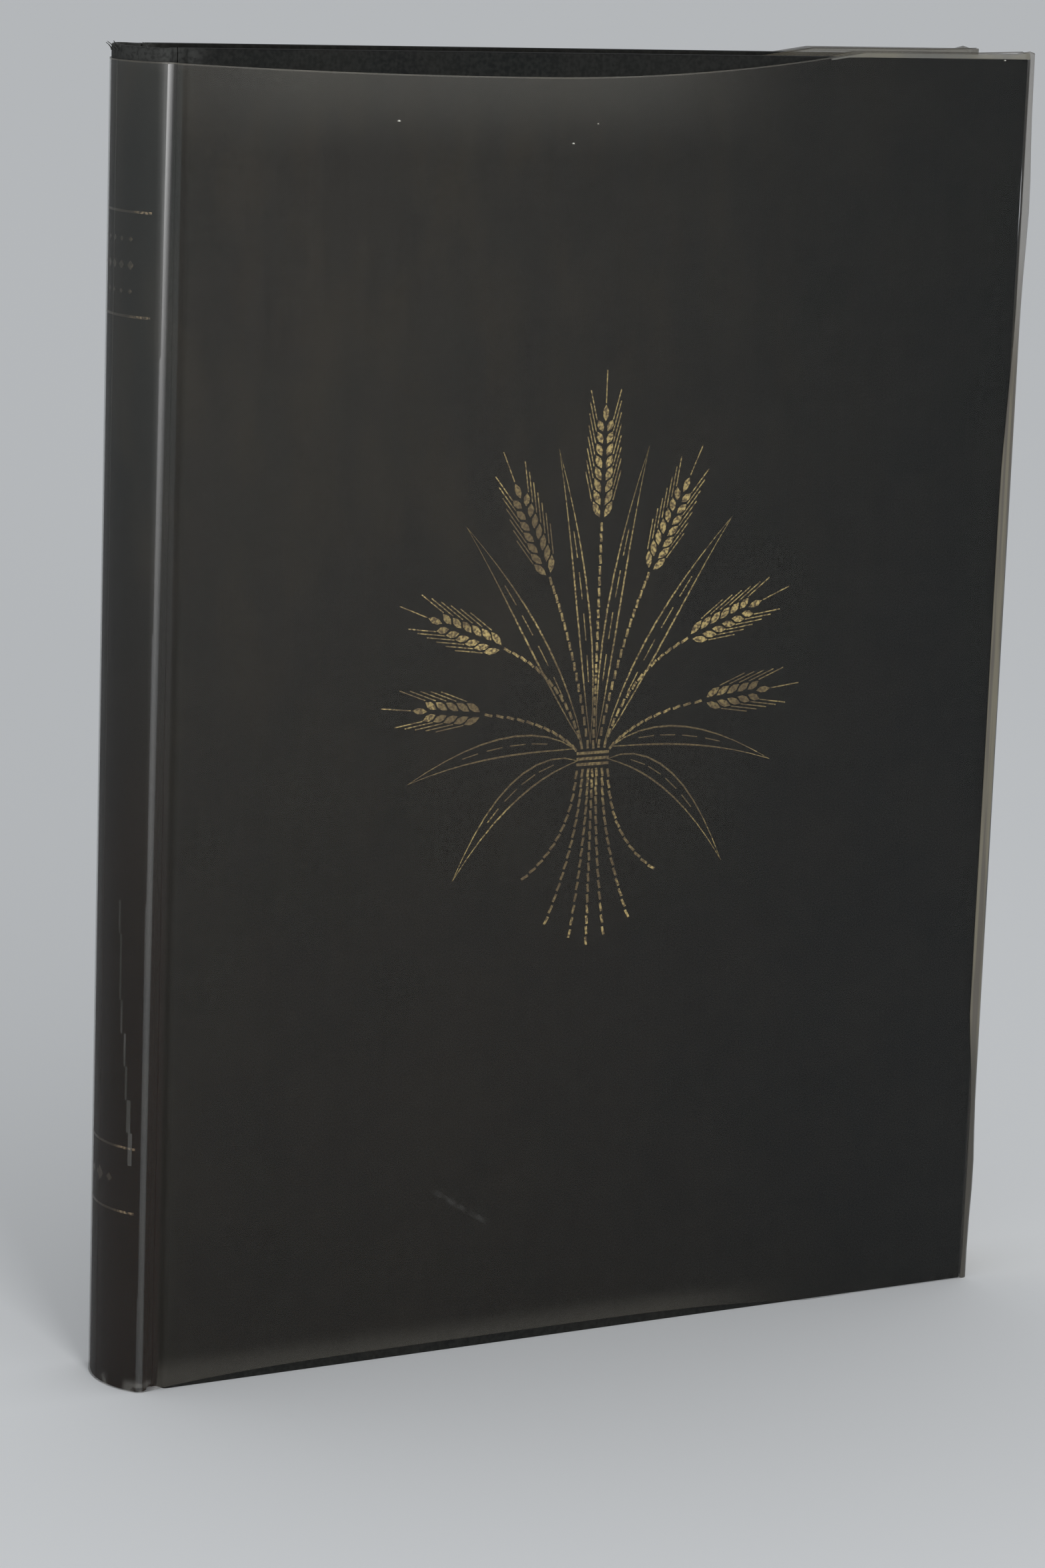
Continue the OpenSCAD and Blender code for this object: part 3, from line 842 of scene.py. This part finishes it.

# %% [markdown]
# ### Clear film
# Clear film is hard to see except where it catches the light. The flat film is nearly clear,
# with a low, slightly blurred shine. Over the ridge beside the joint it is stretched and
# shines most. On the spine the film's lighter, bluish colour is a painted sheen. Towards
# the tail, and on the cover towards the fore-edge, its colour darkens as painted shade. Where
# it stands clear of the cloth, at the fold and at the head, it shows as a pale, yellowed sheet;
# at the fold that pale colour is partly a painted reflection. Each of these is a finish of its
# own with a constant alpha, so it looks the same in every viewer.

# %% Film finishes
HAZE_COLOR = (0.25, 0.24, 0.21)
HEAD_HAZE = (HEIGHT - 26 * MM, HEIGHT - 2 * MM)
HAZE_FADES = (SHOULDER + 110 * MM, SHOULDER + 175 * MM)
FROM_TAIL = (60 * MM, 290 * MM)
TO_FORE_EDGE = (SHOULDER + 70 * MM, FORE_EDGE)


def film_finish(name, clear, tint, roughness, alpha, ior, haze=0.0, low=None, far=None):
    """Film with upright scuffs, a stain and haze. Its colour may darken towards tail and fore-edge, as
    painted shade.
    """
    made = finish(name, clear, roughness, Alpha=alpha, IOR=ior)
    place, x, y, z = axes(made)
    stain = noise(made, place, 60, 3, (1.2, 1.2, 0.5))
    color = blend_colors(made, step(made, stain, 0.42, 0.66), clear, tint)
    # Darker towards the tail and the fore-edge: painted shade.
    if low:
        color = blend_colors(made, step(made, z, *FROM_TAIL), low, color)
    if far:
        color = blend_colors(made, step(made, x, *TO_FORE_EDGE), color, far)
    if haze:
        rise = step(made, z, *HEAD_HAZE, 0, haze)
        near_spine = step(made, x, *HAZE_FADES, 1, 0)
        past_joint = step(made, x, GROOVE_X, GROOVE_X + 30 * MM, 0.5, 1)
        hazed = maths(made, "MULTIPLY", rise, maths(made, "MULTIPLY", near_spine, past_joint))
        color = blend_colors(made, hazed, color, HAZE_COLOR)
    use(made, "Base Color", color)
    scuffs = noise(made, place, 700, 2, (1, 1, 0.05))
    use(made, "Roughness", step(made, scuffs, 0.3, 0.7, 0.85 * roughness, 1.15 * roughness))
    emboss(made, scuffs, 0.01 * MM, 0.3)
    made.surface_render_method = "BLENDED"
    return made


# The last colours given darken the film towards the tail and the fore-edge: painted shade.
film = film_finish("clear_film", clear=(0.045, 0.038, 0.028), tint=(0.065, 0.052, 0.034),
                   roughness=0.42, alpha=0.12, ior=1.7, haze=0.7,
                   low=(0.020, 0.012, 0.004), far=(0.004, 0.004, 0.003))
# On the spine the lighter, bluish clear colour is a painted sheen, and the tail colour is painted
# shade.
film_spine_sheen = film_finish("film_on_spine_painted_sheen", clear=(0.064, 0.067, 0.062), tint=(0.082, 0.080, 0.070),
                         roughness=0.35, alpha=0.22, ior=1.6, haze=0.2, low=(0.018, 0.008, 0.003))
film_ridge = film_finish("film_over_ridge", clear=(0.018, 0.018, 0.016), tint=(0.03, 0.028, 0.022),
                         roughness=0.36, alpha=0.3, ior=2.0, haze=0.1)
film_flap = film_finish("film_flap", clear=(0.46, 0.44, 0.38), tint=(0.40, 0.37, 0.29),
                        roughness=0.42, alpha=0.1, ior=1.5)
film_fold = film_finish("film_fold", clear=(0.16, 0.15, 0.125), tint=(0.20, 0.175, 0.12),
                        roughness=0.35, alpha=0.8, ior=1.5)
film_lip = film_finish("film_lip", clear=(0.15, 0.148, 0.135), tint=(0.19, 0.18, 0.145),
                       roughness=0.35, alpha=0.66, ior=1.5)
film_edge = film_finish("film_edge", clear=(0.075, 0.07, 0.06), tint=(0.10, 0.09, 0.07),
                        roughness=0.4, alpha=0.45, ior=1.5, haze=0.4)
# The pale colour of this finish, beside the lower crease, is a painted highlight.
film_crease_highlight = film_finish("film_crease_highlight", clear=(0.13, 0.125, 0.115), tint=(0.05, 0.05, 0.04),
                        roughness=0.4, alpha=0.35, ior=1.5)
print("film finishes done,", len(bpy.data.materials), "materials so far")

# %% [markdown]
# The shine on the ridge is sharp at the head and blurs towards the tail, where the film is
# scuffed most. The fold's pale colour is partly a painted reflection, with its own yellow
# streaks. It is paler at the head as a painted highlight, darker near the tail as painted
# shade, and dark along its outermost line over the middle of its height as painted shade.

# %% Vary the ridge and the fold with the height
RIDGE_BLURS_FROM = 50 * MM
# Where the fold gets painted shade and a painted highlight.
SHADED_TAIL = (50 * MM, 75 * MM)
PALE_HEAD = (235 * MM, 275 * MM)
DARK_STARTS = (85 * MM, 110 * MM)
DARK_ENDS = (200 * MM, 230 * MM)
OUTER_LINE = (FOLD_X - 1.1 * MM, FOLD_X - 0.8 * MM)

place, x, y, z = axes(film_ridge)
use(film_ridge, "Roughness", step(film_ridge, z, RIDGE_BLURS_FROM, HEIGHT, 0.50, 0.31))

place, x, y, z = axes(film_fold)
streaks = step(film_fold, noise(film_fold, place, 350, 2, (3, 3, 0.08)), 0.35, 0.65)
# The yellow streaks are the film's own; the pale level is partly a painted reflection.
yellowed = blend_colors(film_fold, streaks, (0.105, 0.095, 0.08), (0.17, 0.155, 0.115))
# Darker near the tail: painted shade.
dimmed = blend_colors(film_fold, step(film_fold, z, *SHADED_TAIL), (0.065, 0.06, 0.05), yellowed)
# Paler at the head: painted highlight.
with_painted_highlight = blend_colors(film_fold, step(film_fold, z, *PALE_HEAD), dimmed, (0.25, 0.245, 0.235))
# A line of painted shade along the fold's outermost line.
dark_from = step(film_fold, z, *DARK_STARTS)
dark_height = maths(film_fold, "MULTIPLY", dark_from, step(film_fold, z, *DARK_ENDS, 1, 0))
dark_line = maths(film_fold, "MULTIPLY", dark_height, step(film_fold, x, *OUTER_LINE))
use(film_fold, "Base Color", blend_colors(film_fold, dark_line, with_painted_highlight, (0.025, 0.027, 0.025)))
print("the fold's finish has", len(film_fold.node_tree.nodes), "nodes")

# %% [markdown]
# Wear lies on the film itself: pale smears where the tail of the spine has been rubbed on
# shelves, a haze along its lifted tail edge, and one broad, faint scratch on the front cover.

# %% Smears at the tail and a scratch
SMEARED_TO = (1.0 * MM, 3.6 * MM)
SMEARS = [(-13 * MM, 3.4 * MM), (-4 * MM, 2 * MM), (8.5 * MM, 3 * MM)]
TAIL_HAZE = (2.5 * MM, 9 * MM)
TAIL_HAZE_FADES = (SHOULDER + 140 * MM, SHOULDER + 186 * MM)
SCRATCH_X = -30.6 * MM
SCRATCH_Z = 36.8 * MM
SCRATCH_LEAN = math.radians(-33.2)
SCRATCH_REACH = 12 * MM
SCRATCH_WIDTH = 0.8 * MM

for made in (film_spine_sheen, film_ridge):
    place, x, y, z = axes(made)
    broken = step(made, noise(made, place, 420, 3), 0.40, 0.58)
    low_down = step(made, z, *SMEARED_TO, 1, 0)
    patches = within(made, y, *SMEARS[0])
    for where in SMEARS[1:]:
        patches = maths(made, "MAXIMUM", patches, within(made, y, *where))
    smear = maths(made, "MULTIPLY", maths(made, "MULTIPLY", broken, low_down), patches)
    overlay(made, smear, (0.23, 0.22, 0.20))

place, x, y, z = axes(film)
rise = step(film, z, *TAIL_HAZE, 1, 0)
lifted = step(film, x, *TAIL_HAZE_FADES, 1, 0)
overlay(film, maths(film, "MULTIPLY", rise, lifted), (0.13, 0.118, 0.095))

from_x = maths(film, "SUBTRACT", x, SCRATCH_X)
from_z = maths(film, "SUBTRACT", z, SCRATCH_Z)
lean_cos = math.cos(SCRATCH_LEAN)
lean_sin = math.sin(SCRATCH_LEAN)
lengthwise = maths(film, "MULTIPLY_ADD", from_x, lean_cos, maths(film, "MULTIPLY", from_z, lean_sin))
crosswise = maths(film, "MULTIPLY_ADD", from_z, lean_cos, maths(film, "MULTIPLY", from_x, -lean_sin))
scratch_ends = within(film, lengthwise, 0, SCRATCH_REACH)
scratch = maths(film, "MULTIPLY", scratch_ends, within(film, crosswise, 0, SCRATCH_WIDTH))
scratch_grain = step(film, noise(film, place, 500, 2), 0.35, 0.65)
overlay(film, maths(film, "MULTIPLY", scratch, scratch_grain), (0.11, 0.105, 0.095))
print("scratch", 2 * SCRATCH_REACH / MM, "mm long")

# %% [markdown]
# ### The film's finishes, laid on
# The sheet is still one skin, so a face's place says which finish it has: its cut edge, its
# flap, its fold, the lip that stands over the head, the crease, the ridge, the spine or the
# flat cover. Then it gets its thickness, whose rim has the finish of the cut edge, except
# where the two halves meet in the middle of the spine.

# %% Lay the finishes on the film and give it its thickness
FILM_FINISHES = (film, film_spine_sheen, film_ridge, film_fold, film_lip, film_crease_highlight, film_flap, film_edge)
FLAT, SPINE, RIDGE, FOLD, LIP, CREASE, FLAP, EDGE = range(len(FILM_FINISHES))
HAIR = 0.05 * MM
FLAP_ROOM = 0.3 * MM
FOLD_FROM = FORE_EDGE - 1.4 * MM
LIP_LEVEL = HEIGHT - 0.6 * MM
# How high and how far beside the crease its painted highlight lies.
CREASE_HIGHLIGHT_TO = 118 * MM
CREASE_HIGHLIGHT_BESIDE = 0.32 * MM
RIDGE_BEFORE_CREST = -1.5 * MM
RIDGE_PAST_CREST = 0.4 * MM
RIDGE_FROM_Y = 11 * MM


def on_crease(p):
    """True beside the lower part of the crease, where a highlight is painted."""
    on_height = CREASE_LOW < p.z < CREASE_HIGHLIGHT_TO
    return p.x < SHOULDER and on_height and abs(p.y - crease_place(p.z)) < CREASE_HIGHLIGHT_BESIDE


def on_ridge(p):
    """True on the strip that shines along the crest."""
    past_crest = p.x - SHOULDER - crest_shift(p.z)
    return RIDGE_BEFORE_CREST < past_crest < RIDGE_PAST_CREST and abs(p.y) > RIDGE_FROM_Y


def film_place(p):
    """Which finish this place on the film has."""
    if p.z > film_head(p.x) + HAIR:
        return EDGE
    if abs(p.y) < FLAP_FACE + FLAP_ROOM and p.x > GROOVE_X:
        return FLAP
    if p.x > FOLD_FROM and p.x > FORE_EDGE + haze_start(p.z):
        return FOLD
    if film_head(p.x) > LIP_LEVEL and p.z > under_head(p.x) + HAIR:
        return LIP
    if on_crease(p):
        return CREASE
    if on_ridge(p):
        return RIDGE
    return SPINE if p.x < GROOVE_X else FLAT


for half in (jacket, rear_jacket):
    for made in FILM_FINISHES:
        half.data.materials.append(made)
    for face in half.data.polygons:
        face.material_index = film_place(face.center)
    apply(half, "SOLIDIFY", thickness=FILM_T, offset=-1, material_offset_rim=EDGE)
    for face in half.data.polygons:
        if near(face.center.y, 0):
            face.material_index = SPINE
    smooth(half)
    print(half.name, len(half.data.polygons), "faces")

# %% [markdown]
# ### Paper, card and the inside of the spine
# Cut page edges show the sheets as fine lines that run across the block's thickness. The
# boards are grey pulp card with fibres, the endpapers are toned cream paper, and the bands
# at head and tail are woven in two colours.

# %% Page edges
PAGE_GAPS = (0.50, 0.42, 0.29)
PAGE_EDGES = (0.74, 0.67, 0.52)
PAGES_TONED = (0.52, 0.41, 0.25)
pages = finish("page_edges", (0.66, 0.58, 0.43), 0.8)
place, x, y, z = axes(pages)
leaves = noise(pages, place, 1000, 3, (0.012, 4.5, 0.012))
toning = noise(pages, place, 25, 3)
lines = blend_colors(pages, step(pages, leaves, 0.3, 0.7), PAGE_GAPS, PAGE_EDGES)
toned = step(pages, toning, 0.45, 0.75, 0, 0.5)
use(pages, "Base Color", blend_colors(pages, toned, lines, PAGES_TONED))
emboss(pages, leaves, 0.15 * MM, 0.6)
print("page edges of", len(pages.node_tree.nodes), "nodes")

# %% Endpapers, card and lining paper


def speckled(name, base, fleck, roughness, scale, depth):
    """Paper or card: a base colour with flecks of another, and a fibrous surface."""
    made = finish(name, base, roughness)
    place, x, y, z = axes(made)
    fibres = noise(made, place, scale, 5, (1, 1, 0.4))
    clouds = noise(made, place, 18, 2)
    mixed = blend_colors(made, step(made, fibres, 0.45, 0.75, 0, 0.6), base, fleck)
    toned = tuple(0.82 * c for c in base)
    use(made, "Base Color", blend_colors(made, step(made, clouds, 0.4, 0.8, 0, 0.5), mixed, toned))
    emboss(made, fibres, depth, 0.5)
    return made


endpaper_look = speckled("endpaper", (0.74, 0.69, 0.56), (0.68, 0.62, 0.49),
                         roughness=0.85, scale=900, depth=0.03 * MM)
card = speckled("pulp_board", (0.36, 0.32, 0.25), (0.20, 0.17, 0.12),
                roughness=0.9, scale=350, depth=0.1 * MM)
lining = speckled("lining_paper", (0.38, 0.26, 0.15), (0.25, 0.17, 0.10),
                  roughness=0.85, scale=400, depth=0.06 * MM)
dust_look = speckled("dust", (0.62, 0.60, 0.54), (0.42, 0.39, 0.33),
                     roughness=0.9, scale=900, depth=0.05 * MM)
print("papers done,", len(bpy.data.materials), "materials so far")

# %% Gauze and bands
GAUZE_MESH = 1 * MM
GAUZE_THREADS = (0.60, 0.55, 0.44)
GLUE_BETWEEN = (0.22, 0.16, 0.10)
BAND_STITCH = 1.2 * MM
BAND_PALE = (0.62, 0.56, 0.42)
BAND_RED = (0.20, 0.045, 0.03)


def wave(made, value, length):
    """A sine wave of this length along a coordinate."""
    return maths(made, "SINE", maths(made, "MULTIPLY", value, 2 * math.pi / length))


gauze = finish("glued_gauze", GAUZE_THREADS, 0.9)
place, x, y, z = axes(gauze)
across_threads = maths(gauze, "ABSOLUTE", wave(gauze, y, 2 * GAUZE_MESH))
along_threads = maths(gauze, "ABSOLUTE", wave(gauze, z, 2 * GAUZE_MESH))
hole = maths(gauze, "MINIMUM", across_threads, along_threads)
use(gauze, "Base Color", blend_colors(gauze, step(gauze, hole, 0.35, 0.6), GAUZE_THREADS, GLUE_BETWEEN))
emboss(gauze, step(gauze, hole, 0.35, 0.6, 1, 0), 0.2 * MM)

band = finish("woven_band", (0.55, 0.50, 0.36), 0.7, Sheen_Weight=0.15)
place, x, y, z = axes(band)
stitches = wave(band, y, BAND_STITCH)
use(band, "Base Color", blend_colors(band, step(band, stitches, -0.2, 0.2), BAND_PALE, BAND_RED))
emboss(band, maths(band, "ABSOLUTE", stitches), 0.15 * MM)
print("a band stitch each", BAND_STITCH / MM, "mm")

# %% [markdown]
# ### Gold foil
# Stamped foil lies in the cloth, so the weave breaks it up: the threads' tops are bright and
# the gaps dark. Handling has left dull patches. On the spine, the foil that lies away from
# the front cover is darkened as painted shade.

# %% Gold foil


def foil(name, bright, worn_and_shaded, dullest, shade_band=None):
    """Foil with rubbed grain and dull patches. Past a band along y it may be darkened as painted shade.
    """
    made = finish(name, bright, 0.4, Metallic=0.85)
    place, x, y, z = axes(made)
    rubbed = noise(made, place, 1400, 2)
    patches = noise(made, place, 40, 2)
    worn = blend_colors(made, step(made, rubbed, 0.35, 0.65), worn_and_shaded, bright)
    dimmed = step(made, patches, 0.42, 0.6, 0, dullest)
    # Past this band along y the foil is darkened: painted shade.
    if shade_band:
        dimmed = maths(made, "MAXIMUM", dimmed, step(made, y, *shade_band))
    use(made, "Base Color", blend_colors(made, dimmed, worn, worn_and_shaded))
    use(made, "Roughness", step(made, rubbed, 0.3, 0.7, 0.55, 0.34))
    emboss(made, rubbed, 0.08 * MM, 0.7)
    return made


gold = foil("gold_foil", bright=(0.88, 0.68, 0.28), worn_and_shaded=(0.15, 0.11, 0.065), dullest=0.85)
spine_gold = foil("spine_gold_foil", bright=(1.0, 0.75, 0.45), worn_and_shaded=(0.10, 0.085, 0.065),
                  dullest=0.4, shade_band=(-10.5 * MM, -5.5 * MM))
print("foils:", gold.name, spine_gold.name)

# %% [markdown]
# ### Which piece has which finish
# The rigid pieces keep their mesh from the frame and only change their finish. The nodes of
# the three sheets have one too, although the folded sheets stand in for them here.

# %% Give every piece its finish
looks = {
    "text_block": pages, "front_flyleaf": endpaper_look, "rear_flyleaf": endpaper_look,
    "mull": gauze, "back_lining": lining, "head_band": band, "tail_band": band,
    "spine_stiffener": card, "front_board": card, "rear_board": card,
    "spine_gilt": spine_gold, "front_gilt": gold, "front_cloth": cloth, "spine_cloth": cloth,
    "rear_cloth": cloth, "front_film": film, "spine_film": film, "rear_film": film,
    "front_pastedown": endpaper_look, "rear_pastedown": endpaper_look,
}
for name, look in looks.items():
    slots = cad[name].material_slots
    if not slots:
        cad[name].data.materials.append(look)
    for slot in slots:
        slot.material = look
for piece in (case, rear_case):
    piece.data.materials.append(cloth)
for piece in (endpaper, rear_endpaper):
    piece.data.materials.append(endpaper_look)
threads.data.materials.append(cloth)
dust.data.materials.append(dust_look)
print("finishes laid on", len(looks), "nodes")

# %% [markdown]
# ## The sheets in place
# Each folded sheet has its shape set in world space, and the nodes of the frame that it
# stands in for are hidden. The frayed threads go with the pages' body and the dust with the
# front cover.

# %% Set the sheets in place
for side, clothing, wrap, paper in (
    ("front", case, jacket, endpaper),
    ("rear", rear_case, rear_jacket, rear_endpaper),
):
    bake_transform(clothing)
    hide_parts(f"{side}_cloth", "spine_cloth")
    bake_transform(wrap)
    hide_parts(f"{side}_film", "spine_film")
    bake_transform(paper)
    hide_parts(f"{side}_pastedown")
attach(threads, "text_body")
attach(dust, "front_cover")
print("the cloth bends over", round(BENDING_STRIP / MM, 2), "mm")

# %% [markdown]

# %% [markdown]
# ## Camera, floor and light
# The camera stands where the photograph was taken from, found from the corners of the boards.
# One soft lamp stands just right of it and low, so that the ridge beside the joint mirrors it
# brightest at the head.

# %% Camera
CAMERA_PLACE = (-0.5297, -0.9494, 0.3611)
CAMERA_TURN = math.radians(-28.715)
CAMERA_TILT = math.radians(78.41)
CAMERA_ROLL = math.radians(2.05)
camera = bpy.data.objects.new("camera", bpy.data.cameras.new("camera"))
bpy.context.scene.collection.objects.link(camera)
camera.data.lens = 102.8
camera.data.sensor_width = 36
camera.location = CAMERA_PLACE
aim = Matrix.Rotation(CAMERA_TURN, 3, "Z") @ Matrix.Rotation(CAMERA_TILT, 3, "X")
camera.rotation_euler = (aim @ Matrix.Rotation(CAMERA_ROLL, 3, "Z")).to_euler()
bpy.context.scene.camera = camera
print("camera", round(Vector(CAMERA_PLACE).length, 2), "m away")

# %% Floor and light
FLOOR_SIZE = 60
KEY_AIM = Vector((SHOULDER, -0.013, 0.22))
KEY_SIDE = math.radians(7)
KEY_AWAY = 1.5
KEY_ABOVE = 0.18
bpy.ops.object.select_all(action="DESELECT")
bpy.ops.mesh.primitive_plane_add(size=FLOOR_SIZE, location=(0, 0, 0))
floor = bpy.context.object
floor.name = "floor"
floor.data.materials.append(finish("floor", (0.80, 0.815, 0.83), 0.9))

world = bpy.data.worlds.new("studio")
bpy.context.scene.world = world
world.use_nodes = True
world.node_tree.nodes["Background"].inputs["Color"].default_value = (0.56, 0.57, 0.58, 1)

lamp_data = bpy.data.lights.new("key", "AREA")
lamp_data.energy = 13
lamp_data.size = 0.35
key = bpy.data.objects.new("key", lamp_data)
bpy.context.scene.collection.objects.link(key)
from_aim = Vector((-math.sin(KEY_SIDE) * KEY_AWAY, -math.cos(KEY_SIDE) * KEY_AWAY, KEY_ABOVE))
key.location = KEY_AIM + from_aim
key.rotation_euler = (-from_aim).to_track_quat("-Z", "Y").to_euler()
print("key lamp at", [round(number, 2) for number in key.location])
bpy.context.scene.view_settings.view_transform = "Standard"

# %% [markdown]
# ## The size
# The sheets stand a little proud of the solids that they replace, so the book's box grows by
# a millimetre or two.

# %% Update the scene
bpy.context.view_layer.update()
